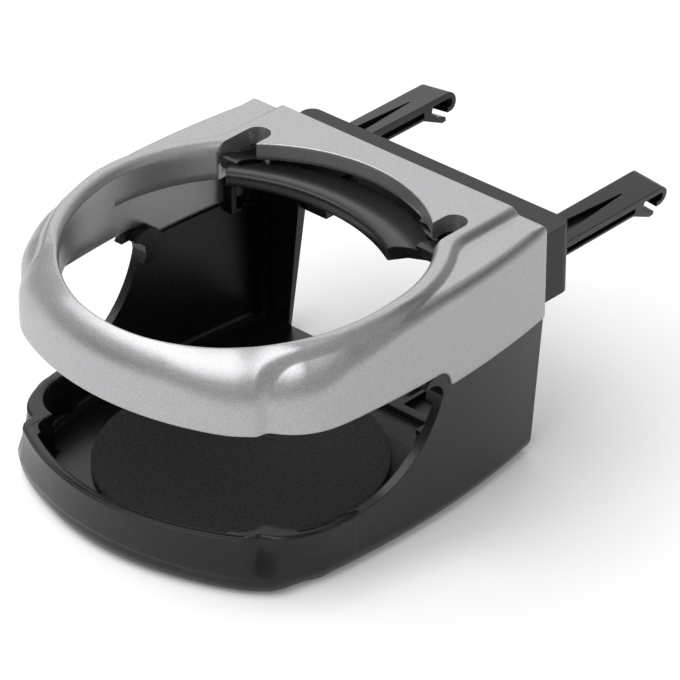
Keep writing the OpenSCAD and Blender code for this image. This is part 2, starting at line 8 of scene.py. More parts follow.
import bmesh
import bpy
import numpy as np
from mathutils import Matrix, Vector


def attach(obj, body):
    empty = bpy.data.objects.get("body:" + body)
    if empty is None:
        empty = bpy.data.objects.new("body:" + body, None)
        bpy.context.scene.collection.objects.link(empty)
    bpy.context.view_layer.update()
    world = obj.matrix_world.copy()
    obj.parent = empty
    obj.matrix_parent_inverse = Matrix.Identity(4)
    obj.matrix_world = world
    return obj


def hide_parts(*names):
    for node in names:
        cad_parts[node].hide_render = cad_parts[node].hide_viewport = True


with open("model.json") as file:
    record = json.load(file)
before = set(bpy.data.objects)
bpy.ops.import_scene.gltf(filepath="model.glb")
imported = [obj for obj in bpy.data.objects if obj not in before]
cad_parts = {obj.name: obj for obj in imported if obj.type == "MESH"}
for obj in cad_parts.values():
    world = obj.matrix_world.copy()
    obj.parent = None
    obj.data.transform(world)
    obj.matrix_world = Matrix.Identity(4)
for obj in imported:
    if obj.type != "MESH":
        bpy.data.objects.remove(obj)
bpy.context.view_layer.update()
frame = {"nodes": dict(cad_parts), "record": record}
NODES = frame["nodes"]
MM = 0.001


# Shader helpers
def srgb(code):
    """Linear colour of an sRGB hex code such as "#B4B4B4"."""
    parts = [int(code[i:i + 2], 16) / 255 for i in (1, 3, 5)]
    linear = [p / 12.92 if p <= 0.04045 else ((p + 0.055) / 1.055) ** 2.4 for p in parts]
    return (*linear, 1.0)


def node(tree, kind, stops=(), **settings):
    """Adds a node. A key with a leading underscore sets an attribute, i0 or i1 an input by its number, and
    any other key an input by its name. A socket is linked and a value is set. stops are the (place, colour
    code) pairs of a colour ramp."""
    n = tree.nodes.new(kind)
    for key in [k for k in settings if k.startswith("_")]:
        setattr(n, key[1:], settings.pop(key))
    for key, value in settings.items():
        socket = n.inputs[int(key[1:]) if key in ("i0", "i1") else key.replace("_", " ")]
        if isinstance(value, bpy.types.NodeSocket):
            tree.links.new(value, socket)
        else:
            socket.default_value = value
    for element, (place, code) in zip(n.color_ramp.elements if stops else (), stops):
        element.position = place
        element.color = srgb(code)
    return n


def material(name):
    """A material with a Principled shader. Returns it, its tree, its shader and its Object coordinates."""
    m = bpy.data.materials.new(name)
    m.use_nodes = True
    t = m.node_tree
    coords = t.nodes.new("ShaderNodeTexCoord")
    return m, t, t.nodes["Principled BSDF"], coords.outputs["Object"]


# Materials
def silver_lacquer():
    """Satin silver lacquer on moulded ABS. Its aluminium flake glints finely and spreads the highlights
    wide, and the lacquer has a faint orange peel. The flake is drawn coarser than its real 0.02 mm, so that
    it shows."""
    flake_size = 0.35
    peel_depth = 0.03
    m, t, s, xyz = material("satin_silver_lacquer")
    flake = node(t, "ShaderNodeTexNoise", Vector=xyz, Scale=1 / (flake_size * MM), Detail=3.0, Roughness=0.7)
    grain = flake.outputs["Fac"]
    tint = node(t, "ShaderNodeValToRGB", stops=[(0.3, "#9C9C9E"), (0.72, "#BCBCBE")], Fac=grain)
    gloss = node(t, "ShaderNodeMapRange", Value=grain, From_Min=0.3, From_Max=0.7, To_Min=0.3, To_Max=0.42)
    peel = node(t, "ShaderNodeBump", Height=grain, Strength=0.12, Distance=peel_depth * MM)
    s.inputs["Metallic"].default_value = 0.75
    t.links.new(tint.outputs["Color"], s.inputs["Base Color"])
    t.links.new(gloss.outputs["Result"], s.inputs["Roughness"])
    t.links.new(peel.outputs["Normal"], s.inputs["Normal"])
    return m


def black_moulding(name, low, high, rough, grain_size, strength):
    """Moulded black plastic or rubber. The spark-eroded grain of its mould breaks up the gloss, and its
    edges are rounded by 0.35 mm, so that they catch a thin line of light. Colours vary between low and
    high."""
    edge_radius = 0.35
    grain_depth = 0.05
    m, t, s, xyz = material(name)
    noise = node(t, "ShaderNodeTexNoise", Vector=xyz, Scale=1 / (grain_size * MM), Detail=4.0, Roughness=0.6)
    grain = noise.outputs["Fac"]
    tint = node(t, "ShaderNodeValToRGB", stops=[(0.3, low), (0.7, high)], Fac=grain)
    gloss = node(t, "ShaderNodeMapRange", Value=grain, From_Min=0.3, From_Max=0.7,
                 To_Min=rough - 0.05, To_Max=rough + 0.05)
    edge = node(t, "ShaderNodeBevel", _samples=4, Radius=edge_radius * MM)
    bump = node(t, "ShaderNodeBump", Height=grain, Strength=strength, Distance=grain_depth * MM,
                Normal=edge.outputs["Normal"])
    s.inputs["Specular IOR Level"].default_value = 0.35
    t.links.new(tint.outputs["Color"], s.inputs["Base Color"])
    t.links.new(gloss.outputs["Result"], s.inputs["Roughness"])
    t.links.new(bump.outputs["Normal"], s.inputs["Normal"])
    return m


def cut_foam():
    """Foam rubber cut from a sheet: matt dark grey, with small open pores that show as pale and dark
    specks."""
    pore_size = 0.8
    pore_depth = 0.3
    m, t, s, xyz = material("cut_foam_rubber")
    pores = node(t, "ShaderNodeTexNoise", Vector=xyz, Scale=1 / (pore_size * MM), Detail=5.0, Roughness=0.75)
    grain = pores.outputs["Fac"]
    tint = node(t, "ShaderNodeValToRGB", stops=[(0.35, "#0C0C0C"), (0.72, "#303030")], Fac=grain)
    bump = node(t, "ShaderNodeBump", Height=grain, Strength=0.6, Distance=pore_depth * MM)
    s.inputs["Roughness"].default_value = 0.95
    t.links.new(tint.outputs["Color"], s.inputs["Base Color"])
    t.links.new(bump.outputs["Normal"], s.inputs["Normal"])
    return m


def steel(name):
    """Bright steel, zinc plated or drawn: a smooth grey metal whose colour is slightly cloudy."""
    cloud_size = 0.5
    m, t, s, xyz = material(name)
    noise = node(t, "ShaderNodeTexNoise", Vector=xyz, Scale=1 / (cloud_size * MM), Detail=3.0)
    tint = node(t, "ShaderNodeValToRGB", stops=[(0.3, "#9A9A9E"), (0.7, "#B8B8BC")], Fac=noise.outputs["Fac"])
    s.inputs["Metallic"].default_value = 1.0
    s.inputs["Roughness"].default_value = 0.32
    t.links.new(tint.outputs["Color"], s.inputs["Base Color"])
    return m


# The material of each slot. The blacks have their two shades, their roughness, the size of their grain in
# millimetres and its strength.
MATERIALS = {
    "silver_cover": silver_lacquer(),
    "black_basket": black_moulding("satin_moulded_abs", "#0A0A0A", "#121212", 0.28, 0.25, 0.06),
    "black_flap": black_moulding("flap_moulded_abs", "#0C0C0C", "#131313", 0.28, 0.25, 0.06),
    "black_housing": black_moulding("textured_moulded_abs", "#1A1A1A", "#242424", 0.45, 0.3, 0.2),
    "black_arm": black_moulding("arm_moulded_nylon", "#0F0F0F", "#171717", 0.3, 0.3, 0.1),
    "black_foot": black_moulding("foot_moulded_abs", "#101010", "#181818", 0.38, 0.3, 0.12),
    "rubber_tip": black_moulding("moulded_tip_rubber", "#141414", "#1E1E1E", 0.8, 0.4, 0.3),
    "foam_pad": cut_foam(),
    "steel_parts": steel("zinc_plated_steel"),
    "spring_wire": steel("drawn_spring_wire"),
}
SLOT = {s["node"]: s["material_slot"] for s in frame["record"]["subparts"]}
for name, obj in NODES.items():
    obj.data.materials.clear()
    obj.data.materials.append(MATERIALS[SLOT[name]])


# Mesh helpers
SHARP = 32  # degrees between two faces, past which their edge stays sharp


def grid_faces(columns, points, ring=True):
    """Quads of a grid of columns, each a closed loop of points. ring joins the last column to the first,
    and without it one face closes each of the two end columns."""
    idx = np.arange(columns * points).reshape(columns, points)
    a = idx if ring else idx[:-1]
    b = np.roll(idx, -1, axis=0) if ring else idx[1:]
    faces = np.stack([a, b, np.roll(b, -1, axis=1), np.roll(a, -1, axis=1)], -1).reshape(-1, 4).tolist()
    return faces if ring else faces + [idx[0].tolist(), idx[-1][::-1].tolist()]


def grid_object(name, pts, body, slot_name, ring=True):
    """An object from a grid of points in millimetres, shape (columns, loop points, 3)."""
    return mesh_object(name, pts.reshape(-1, 3), grid_faces(*pts.shape[:2], ring), body, slot_name)


def mesh_object(name, verts, faces, body=None, slot_name=None):
    """An object from vertices in millimetres and faces. Without a body it is only a tool for a cut."""
    me = bpy.data.meshes.new(name)
    me.from_pydata((np.asarray(verts) * MM).tolist(), [], faces)
    me.validate()
    finish_mesh(me)
    obj = bpy.data.objects.new(name, me)
    bpy.context.scene.collection.objects.link(obj)
    if body:
        me.materials.append(MATERIALS[slot_name])
        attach(obj, body)
    return obj


def finish_mesh(me, angle=SHARP):
    """Turns the normals outwards and makes the faces smooth up to the angle in degrees."""
    bm = bmesh.new()
    bm.from_mesh(me)
    bmesh.ops.recalc_face_normals(bm, faces=bm.faces)
    if bm.calc_volume(signed=True) < 0:
        bmesh.ops.reverse_faces(bm, faces=bm.faces)
    bm.to_mesh(me)
    bm.free()
    me.polygons.foreach_set("use_smooth", [True] * len(me.polygons))
    me.set_sharp_from_angle(angle=math.radians(angle))


def cut(obj, *tools, how="DIFFERENCE", angle=SHARP):
    """Takes the plain meshes tools away from obj for good, or keeps what is inside them."""
    for tool in tools:
        mod = obj.modifiers.new("cut", "BOOLEAN")
        mod.operation = how
        mod.solver = "EXACT"
        mod.object = tool
    bpy.context.view_layer.update()
    me = bpy.data.meshes.new_from_object(obj.evaluated_get(bpy.context.evaluated_depsgraph_get()))
    obj.modifiers.clear()
    obj.data = me
    finish_mesh(me, angle)
    for tool in tools:
        bpy.data.objects.remove(tool)


def prism(plan, z0, z1):
    """Vertices and faces of an upright prism between two heights, over a plan given counter-clockwise."""
    n = len(plan)
    verts = [(x, y, z0) for x, y in plan] + [(x, y, z1) for x, y in plan]
    sides = [(i, (i + 1) % n, n + (i + 1) % n, n + i) for i in range(n)]
    return verts, [tuple(range(n - 1, -1, -1)), tuple(range(n, 2 * n))] + sides


def joined(shapes):
    """One list of vertices and one of faces from several pairs of them."""
    verts = []
    faces = []
    for points, rings in shapes:
        faces += [tuple(i + len(verts) for i in ring) for ring in rings]
        verts += [tuple(p) for p in points]
    return verts, faces


# Curves and blends
def arc(cx, cy, r, a0, a1, n):
    """Points of a circle of radius r about (cx, cy), at n even angles from a0 to a1 degrees."""
    a = np.radians(np.linspace(a0, a1, n))
    return np.stack([cx + r * np.cos(a), cy + r * np.sin(a)], 1)


def smooth(t):
    """Three t squared less two t cubed: an even rise from 0 to 1 that starts and ends level."""
    t = np.clip(t, 0, 1)
    return t * t * (3 - 2 * t)


def soft_min(a, b, k):
    """The lesser of a and b, rounded where they meet; k is the width of the rounding in millimetres."""
    h = np.clip(0.5 + 0.5 * (b - a) / k, 0, 1)
    return b + (a - b) * h - k * h * (1 - h)


def soft_max(a, b, k):
    """The greater of a and b, rounded where they meet; k is the width of the rounding in millimetres."""
    return -soft_min(-a, -b, k)


def soft_table(x, stops):
    """Goes through (x, value) stops with one smooth rise between each two."""
    xs, vs = np.array(stops, float).T
    i = np.clip(np.searchsorted(xs, x) - 1, 0, len(xs) - 2)
    return vs[i] + (vs[i + 1] - vs[i]) * smooth((x - xs[i]) / (xs[i + 1] - xs[i]))


def polar(plan):
    """Angle in degrees and radius about the well axis of points in plan, sorted by angle."""
    dx, dy = plan[:, 0], plan[:, 1] - WELL_Y
    a = np.degrees(np.arctan2(dy, dx))
    order = np.argsort(a)
    return a[order], np.hypot(dx, dy)[order]


def fold_angle(deg):
    """The same direction on the right half of the plan, from -90 in front to 90 degrees behind."""
    return np.where(deg > 90, 180 - deg, np.where(deg < -90, -180 - deg, deg))


def nose_radius(fold, radius, reach, half_width, rounding):
    """Radius about the well axis of a nose in plan: the lesser of an arc that reaches so far in front and
    of its straight side, rounded where they meet."""
    past_corner = math.degrees(math.asin(half_width / radius)) - 70
    bow = arc(0, radius - reach, radius, -90, past_corner, 500)
    side = np.stack([np.full(400, half_width), np.linspace(-75, -8, 400)], 1)
    return soft_min(np.interp(fold, *polar(bow)), np.interp(fold, *polar(side)), rounding)


# Sizes of the cover, as in the part's source, but for a nose that is 0.2 mm narrower
WELL_Y = 1.4  # axis of the can well
WELL_R = 37.6
RING_R = 41.5  # outer edge of the raised ring
RIM_R = 2.2  # rolled inner rim
TOP_Z = 56.0
STEP = 1.5  # from the ring down to the deck
HALF_W = 44.1
SIDE_R = 200.0
SIDE_Y = 10.0  # widest point of the sides
CORNER_R = 14.0
CORNER_Y = -15.5  # centres of the front corners
CORNER_X = math.sqrt((SIDE_R - CORNER_R) ** 2 - (CORNER_Y - SIDE_Y) ** 2) - (SIDE_R - HALF_W)
REAR_Y = 46.6
NOSE_R = 63.4
NOSE_REACH = 41.3  # in front of the origin
NOSE_HALF = 32.4
PLATE_HALF = 32.3  # raised plate behind the opening
TILT = math.tan(math.radians(5))  # slope of the front half of the ring
SKIN = 2.2  # wall of the cover
LOW_Z = 33.0  # lower edge of the cover beside the basket
SLOT_X = 27.2  # centre lines of the two slots
SLOT_Y = 33.4  # centres of their round ends
SLOT_HALF = 2.8
ROD_Y = 34.2  # rod of the flap
ROD_Z = 48.6

# Sizes of the cover that only its fine surface has
LIFT = 1.7  # how far the nose stands out from its sides
WEDGE = 46.2  # degrees from the front to the sides of the nose, seen from the well axis
STEP_WIDTH = 2.3  # across the rounded step
STEP_IN = 0.95  # part of that width inside the line of the step
NOSE_CORNER = 1.5  # rounding of the nose between its arc and its sides
VALLEY = 1.0  # rounding between the nose and the body
RING_CORNER = 6.0  # rounding of the step's line where the ring runs out into the nose
PLATE_CORNER = 2.0  # rounding of the step's line where the ring meets the plate
FAR = 60.0  # more than any distance across the holder


def body_radius(fold, inset=0.0):
    """Radius about the well axis of the body's plan without its nose, stepped in by so many millimetres: a
    long arc along the side, an arc round the corner, a straight front and a straight rear."""
    side_x = HALF_W - SIDE_R
    rear = math.degrees(math.asin((REAR_Y - SIDE_Y) / SIDE_R))
    turn = math.degrees(math.atan2(CORNER_Y - SIDE_Y, CORNER_X - side_x))
    side = arc(side_x, SIDE_Y, SIDE_R - inset, turn, rear, 900)
    corner = arc(CORNER_X, CORNER_Y, CORNER_R - inset, -90, turn, 400)
    ahead = np.stack([np.linspace(0, CORNER_X, 200), np.full(200, CORNER_Y - CORNER_R + inset)], 1)
    behind = np.stack([np.linspace(0, side[-1, 0], 500)[::-1], np.full(500, REAR_Y)], 1)
    return np.interp(fold, *polar(np.vstack([ahead, corner, side, behind])))


def outline_radius(deg):
    """Radius about the well axis of the cover's plan: the greater of the body and of the nose, rounded."""
    fold = fold_angle(deg)
    return soft_max(body_radius(fold), nose_radius(fold, NOSE_R, NOSE_REACH, NOSE_HALF, NOSE_CORNER), VALLEY)


def level(y):
    """Height of the plane of the ring: level behind, sloping by 5 degrees in front, with a fold rounded as
    a hyperbola."""
    ahead = WELL_Y - y
    fold_size = 2.0  # square millimetres
    return TOP_Z - TILT * 0.5 * (ahead + np.sqrt(ahead * ahead + fold_size))


def raised(x, y):
    """How far the surface is lifted by the step: 1 on the ring, on its rear plate and on the nose, 0
    outside. outside is the distance past their common edge, the least of the distances past the ring, past
    the sides of the nose and past the sides of the plate, with rounded corners. Across the width of the
    step the lift falls along a parabola, which rolls the edge, and then along a quarter sine, which ends it
    in a fine crease."""
    roll_share = 0.66
    roll_fall = 0.62
    r = np.hypot(x, y - WELL_Y)
    a = np.degrees(np.arctan2(y - WELL_Y, x))
    off = np.radians(np.clip(np.abs(a + 90) - WEDGE, -46, 80))
    nose = np.where(y < WELL_Y, r * np.sin(off), FAR)
    plate = np.where(y > 15, np.abs(x) - PLATE_HALF, FAR)
    outside = soft_min(soft_min(r - RING_R, nose, RING_CORNER), plate, PLATE_CORNER)
    t = np.clip((outside + STEP_IN) / STEP_WIDTH, 0, 1)
    roll = roll_fall * (t / roll_share) ** 2
    crease = roll_fall + (1 - roll_fall) * np.sin((t - roll_share) / (1 - roll_share) * math.pi / 2)
    return 1 - np.where(t < roll_share, roll, crease)


def lift_at(radius, deg):
    """The sideways lift at a radius about the well axis, in the front half only."""
    a = np.radians(deg)
    return LIFT * raised(radius * np.cos(a), WELL_Y + radius * np.sin(a)) * (fold_angle(deg) < 0)


def cover_columns():
    """Column angles in degrees: even, but closer round the places given as (angle, spread, gain). A pair of
    columns lies at each angle where the lower end of the inner wall jumps, and one at each rear corner."""
    fine = np.linspace(-180, 180, 20001)
    weight = np.ones_like(fine)
    for angle, spread, gain in ((-43, 5, 2.2), (47.8, 3, 0.8), (14, 4, 0.8)):
        for place in (angle, 180 - angle if angle > 0 else -180 - angle):
            weight += gain * np.exp(-((fine - place) / spread) ** 2)
    total = np.cumsum(weight)
    count = 745
    gap = 0.01
    deg = np.interp(np.linspace(total[0], total[-1], count)[:-1], total, fine)
    pairs = [jump + side * gap for jump in (0.0, 40.0, 140.0) for side in (-1, 1)]
    return np.unique(np.concatenate([deg, pairs, [gap - 180, 180 - gap, 47.79, 132.21]]))


def calm_outline(deg):
    """Radius about the well axis of the cover's plan before it is lifted: the outline less the lift, and in
    front averaged with a bell curve, so that the lift alone makes the step at the sides of the nose."""
    step = 0.25  # degrees
    bell_width = 5.0
    reach = 60  # steps to each side that the bell curve takes in
    fine = np.linspace(-180, 180, int(360 / step) + 1)
    plain = outline_radius(fine)
    plain = plain - lift_at(plain, fine)
    bell = np.exp(-(np.arange(-reach, reach + 1) * step / bell_width) ** 2)
    calm = np.convolve(np.pad(plain, reach, "wrap"), bell / bell.sum(), "valid")
    return np.interp(deg, fine, plain + (calm - plain) * smooth((-12 - fold_angle(fine)) / 10))


def cover_surface():
    """Closed surface of the cover. Each column is one loop in the upright plane at its angle about the well
    axis: up the wall of the well, over the rolled rim, across the ring and the deck, down the shoulder and
    the outer wall, and back up the hollow inside to the collar."""
    deg = cover_columns()[:, None]
    fold = fold_angle(deg)
    front = fold < 0
    c, s = np.cos(np.radians(deg)), np.sin(np.radians(deg))
    flat = 0 * deg
    base = calm_outline(deg)
    outline = outline_radius(deg)
    out = outline
    # the outer edge lies where the lifted shoulder ends, found step by step
    for _ in range(16):
        out = 0.5 * (out + base + lift_at(out, deg))
    # radius of the shoulder by direction, from straight ahead over the corner of the nose to the rear
    shoulder = soft_table(fold, [(-90, 6.2), (-70, 6.4), (-50, 9.3), (-40, 10), (-31, 8.4), (-18, 5.4),
                                 (0, 3.6), (16, 2.6), (45, 2.6), (49, 1.0), (90, 1.0)])
    rim_r = np.where(fold > 40, 0.5, RIM_R)

    def top_at(r):
        """Height of the top surface at the radii r: a deck with a quarter round shoulder, lifted along its
        own normal where it is raised, and the quarter round rim of the well."""
        y = WELL_Y + r * s
        lift = raised(r * c, y)
        unlifted = r
        for _ in range(6):
            t = np.clip((unlifted - base + shoulder) / shoulder, 0, 1)
            unlifted = r - LIFT * lift * t * front
        up = np.sqrt(1 - t * t)
        deck = level(y) - STEP - shoulder * (1 - up) + STEP * lift * up
        over_rim = np.maximum(rim_r ** 2 - np.maximum(WELL_R + rim_r - r, 0) ** 2, 0)
        return soft_min(deck, level(y) - rim_r + np.sqrt(over_rim), 0.3)

    # the rows of the surface are pairs of radius and height, one value of each for every column
    rows = []
    wall_low = soft_table(fold, [(-90, 44), (-32, 44), (0, 40.4), (1, 40.4)])
    wall_low = np.where(front, wall_low, np.where(fold < 40, 47.5, 51.9))
    chamfer = 0.3
    rows.append((WELL_R + chamfer + flat, wall_low))
    for t in np.linspace(0, 1, 8)[1:-1]:
        rows.append((WELL_R + flat, wall_low + chamfer + (top_at(WELL_R + flat) - wall_low - chamfer) * t))
    for a in np.linspace(0, math.pi / 2, 13):
        r = WELL_R + RIM_R * (1 - math.cos(a)) + flat
        rows.append((r, top_at(r)))
    # across the ring and the deck the points lie closer towards the outer wall
    spread = np.array([0, .06, .12, .18, .24, .3, .36, .42, .47, .52, .57, .62, .67, .72, .76, .8, .84, .88,
                       .91, .935, .955, .972, .985, .994, 1])
    for f in np.interp(np.linspace(0, 1, 57)[1:], np.linspace(0, 1, len(spread)), spread):
        r = WELL_R + RIM_R + (out - WELL_R - RIM_R) * f
        rows.append((r, top_at(r)))
    # the lower edge is higher in front, and comes down in a quarter round behind the side cut-outs
    y = WELL_Y + outline * s
    rise = 4.1
    notch_y = 10.2
    low = LOW_Z + rise * np.sqrt(1 - np.clip((y - notch_y) / rise, 0, 1) ** 2)
    edge_r = 0.35
    edge = top_at(out)
    for t in np.linspace(0, 1, 14)[1:]:
        rows.append((out, edge + (low + edge_r - edge) * t))
    rows.append((out - edge_r + 0.25, low + 0.1))
    rows.append((out - edge_r, low))
    # the hollow inside: skin, ceiling and collar
    inner = out - SKIN
    rear_skin = 2.4
    behind = REAR_Y - rear_skin - WELL_Y
    inner = np.where(inner * s > behind, behind / np.maximum(s, 0.3), inner)
    ceiling = np.where(front, 47.0, 52.0)
    collar_wall = 2.0
    collar = WELL_R + collar_wall + flat
    for t in (0, 0.5, 1):
        rows.append((inner, low + (ceiling - low) * t))
    rows.append(((inner + collar) / 2, ceiling))
    rows.append((collar, ceiling))
    rows.append((collar, wall_low + (ceiling - wall_low) * 0.4))
    rows.append((collar, wall_low))
    r = np.concatenate([row[0] for row in rows], 1)
    z = np.concatenate([row[1] for row in rows], 1)
    return np.stack([r * c, WELL_Y + r * s, z], -1)


def ring_cover():
    """The silver cover: its shell, less the two slots beside the flap and the open rear below the plate."""
    shell = grid_object("cover_shell", cover_surface(), "holder", "silver_cover")
    tools = []
    for side in (-1, 1):
        x = side * SLOT_X
        end = [tuple(p) for p in arc(x, SLOT_Y, SLOT_HALF, 0, 180, 25)]
        plan = [(x + SLOT_HALF, 20.0)] + end + [(x - SLOT_HALF, 20.0)]
        tools.append(mesh_object("slot_tool", *prism(plan, 40, 60)))
    half = 38.8  # of the opening for the housing
    rear = [(-half, 43.1), (half, 43.1), (half, 49), (-half, 49)]
    tools.append(mesh_object("rear_tool", *prism(rear, 20, 48.6)))
    # the faces turn fast in the crease of the step, and still shade as one surface
    cut(shell, *tools, angle=62)
    shell.data.materials.clear()
    shell.data.materials.append(MATERIALS["silver_cover"])
    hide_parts("cover")


def cover_bosses():
    """The two screw bosses and the two blocks that hold the rod of the flap, as prisms under the deck."""
    under_deck = 52.3
    block_x, block_low = 32.4, 45.6
    boss_x, boss_y, boss_r, boss_low = 37.0, 40.0, 3.2, 42.3
    shapes = []
    for side in (-1, 1):
        x0, x1 = side * block_x - 2.2, side * block_x + 2.2
        y0, y1 = ROD_Y - 3.0, ROD_Y + 3.0
        shapes.append(prism([(x0, y0), (x1, y0), (x1, y1), (x0, y1)], block_low, under_deck))
        shapes.append(prism(arc(side * boss_x, boss_y, boss_r, 0, 360, 33)[:-1], boss_low, under_deck))
    mesh_object("cover_bosses", *joined(shapes), "holder", "silver_cover")


# Flap
def flap_piece():
    """Crescent flap: a section of (distance behind the front edge, height below the top) swept round the
    arc of the concave front edge, and kept inside its plan."""
    edge_r = 44.5
    edge_cy = -20.0
    section = np.array([(0.3, -4.7), (0.06, -4.5), (0.0, -4.2), (0.0, -2.5), (0.1, -2.15), (0.4, -1.85),
                        (0.9, -1.7), (1.9, -1.72), (3.4, -2.0), (5.2, -2.6), (7.4, -3.5), (10.0, -4.4),
                        (13.8, -4.9), (13.8, -6.6), (9.5, -6.3), (6.0, -5.2), (4.4, -4.7)])
    a = np.radians(np.linspace(40, 140, 181))[:, None]
    r = edge_r + section[None, :, 0]
    pts = np.stack([r * np.cos(a), edge_cy + r * np.sin(a), TOP_Z + section[None, :, 1] + 0 * a], -1)
    strip = grid_object("flap_piece", pts, "flap", "black_flap", ring=False)
    # from the rear arc, which follows the well, the plan runs in to the tips of the crescent
    tip = [(24.2, 21.2), (22.6, 18.9), (21.6, 17.9), (20.4, 17.4)]
    back = [tuple(p) for p in arc(0, WELL_Y, WELL_R - 0.7, 42.2, 137.8, 90)]
    plan = back + [(-x, y) for x, y in tip] + tip[::-1]
    cut(strip, mesh_object("plan_tool", *prism(plan, 30, 70)), how="INTERSECT")
    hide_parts("flap")


def flap_barrel():
    """The barrel of the flap, a cylinder with chamfered ends on the axis of the rod, and the two fingers
    that lie in the slots, each a profile of (y, z) points with its width along X."""
    half = 29.5
    barrel_r = 2.5
    chamfer = 0.3
    finger_half = 2.3
    a = np.radians(np.linspace(0, 360, 49)[:-1])
    x = np.array([-half, chamfer - half, half - chamfer, half])[:, None]
    r = np.array([barrel_r - chamfer, barrel_r, barrel_r, barrel_r - chamfer])[:, None]
    barrel = np.stack([x + 0 * a, ROD_Y + r * np.cos(a), ROD_Z + r * np.sin(a)], -1)
    profile = np.array([(24.6, 50.8), (24.6, 53.1), (25.2, 53.45), (26.6, 53.3), (29.0, 52.4), (31.5, 51.5),
                        (34.0, 50.9), (35.2, 50.6), (35.6, 50.0), (35.6, 48.6), (32.2, 48.6), (28.0, 50.4)])
    grids = [barrel]
    for side in (-1, 1):
        x = np.array([side * SLOT_X - finger_half, side * SLOT_X + finger_half])[:, None]
        grids.append(np.stack([x + 0 * profile[:, 0], profile[:, 0] + 0 * x, profile[:, 1] + 0 * x], -1))
    shapes = [(g.reshape(-1, 3), grid_faces(*g.shape[:2], ring=False)) for g in grids]
    mesh_object("flap_barrel", *joined(shapes), "flap", "black_flap")


# Sizes of the basket, nearly those of the part's source
TRAY_R = 58.0  # nose of the lip
TRAY_REACH = 42.25
TRAY_HALF = 32.0
TRAY_WALL = 2.2
LIP_Z = 13.3
FLOOR_EDGE = 4.0  # radius of the lower outside edge


def lip_radius(fold, nose, corner):
    """Radius about the well axis of the lip in plan: the greater of a nose and of a set-back corner,
    rounded. nose holds its radius, reach, half width and rounding, and corner its arc, the end of its side
    and the rounding where they meet."""
    corner_arc, side_end, rounding = corner
    plan = np.vstack([arc(*corner_arc, -90, 0, 300), side_end])
    return soft_max(np.interp(fold, *polar(plan), left=0.0), nose_radius(fold, *nose), rounding)


def base_radius(fold):
    """Radius about the well axis of the foot of the wall: through points on its right half in plan,
    averaged with a bell curve, so that it flows round without a corner."""
    points = np.array([(0, -42.1), (6, -41.8), (12.5, -40.9), (18, -39.5), (23.2, -37.8), (28, -35.8),
                       (32, -33.7), (35, -31.5), (37.3, -28.8), (38.8, -25.6), (39.7, -21.8), (40.4, -16),
                       (40.8, -10), (41, 0)])
    fine = np.linspace(-90, 0, 721)
    raw = np.interp(fine, *polar(points))
    bell = np.exp(-np.linspace(-2, 2, 49) ** 2)
    padded = np.concatenate([raw[24:0:-1], raw, raw[-1] + 0 * raw[:24]])
    return np.interp(fold, fine, np.convolve(padded, bell / bell.sum(), "valid"))


def tray_columns():
    """Column angles in degrees round the front of the basket, closer at its two corners."""
    ends = (-167, -149, -121, -59, -31, -13)
    counts = (20, 90, 150, 90, 20)
    parts = [np.linspace(a, b, n)[:-1] for a, b, n in zip(ends, ends[1:], counts)]
    return np.concatenate(parts + [[ends[-1]]])


def basket_front():
    """Front of the basket from its lip down, added over the basket. In plan the lip has a nose with
    two set-back corners, and the foot of the wall is fuller and has none. The wall passes smoothly from one
    to the other as it goes down, and at its two ends it passes into the plain wall of the basket. Each
    column is one loop about its thickness."""
    deg = tray_columns()
    fold = fold_angle(deg)
    outer_nose = (TRAY_R, TRAY_REACH, TRAY_HALF, 2.2)
    lip = lip_radius(fold, outer_nose, ((28.0, -16.5, 13.5), [(41.45, -12.0), (41.45, 6.0)], 1.4))
    base = base_radius(fold)
    # shares by direction: of the plain wall, of a sink into it at the two ends, and of the nose
    join = smooth((fold + 42) / 17)
    sink = 0.3 * smooth((fold + 17.5) / 3.5)
    nose_part = smooth((-40 - fold) / 8)

    def skin(z):
        """Outer radius at the height z: the front, passing into the tapered plain wall beside it."""
        front = lip + (base - lip) * smooth((12.85 - z) / 10.5)
        inset = 0.5 + 1.5 * (LOW_Z - max(z, FLOOR_EDGE)) / (LOW_Z - FLOOR_EDGE)
        return front + (body_radius(fold, inset) + 0.07 - front) * join - sink

    rows = [(skin(z) - inset, z) for z, inset in ((LIP_Z, 1.0), (13.27, 0.55), (13.12, 0.2), (12.85, 0.0))]
    rows += [(skin(z), z) for z in np.linspace(12.0, 4.9, 12)]
    edge = skin(FLOOR_EDGE) - 0.35 * nose_part * (1 - join)
    for a in np.linspace(0, 90, 12):
        turn = math.radians(a)
        back = FLOOR_EDGE * (1 - math.cos(turn)) - 0.25 * smooth(a / 60) * nose_part
        rows.append((edge - back, 4.3 - 4.28 * math.sin(turn)))
    inner_nose = (TRAY_R - TRAY_WALL, TRAY_REACH - TRAY_WALL + 0.05, TRAY_HALF - TRAY_WALL, 1.2)
    inner = lip_radius(fold, inner_nose, ((28.34, -15.5, 10.3), [(38.65, -12.0), (38.8, 6.0)], 0.8))
    inner = np.minimum(inner, skin(13.0) - 1.6) - 0.12 * (1 - smooth((fold + 22) / 6))
    inside = ((-0.5, 0.05), (-0.5, 2.9), (-0.4, 3.3), (-0.1, 4.6), (0, 12.6), (0.12, 13.0), (0.5, 13.25))
    rows += [(inner + step, z) for step, z in inside]
    a = np.radians(deg)[:, None]
    r = np.stack([row[0] for row in rows], 1)
    z = np.array([row[1] for row in rows]) + 0 * r
    pts = np.stack([r * np.cos(a), WELL_Y + r * np.sin(a), z], -1)
    grid_object("basket_front", pts, "holder", "black_basket", ring=False)


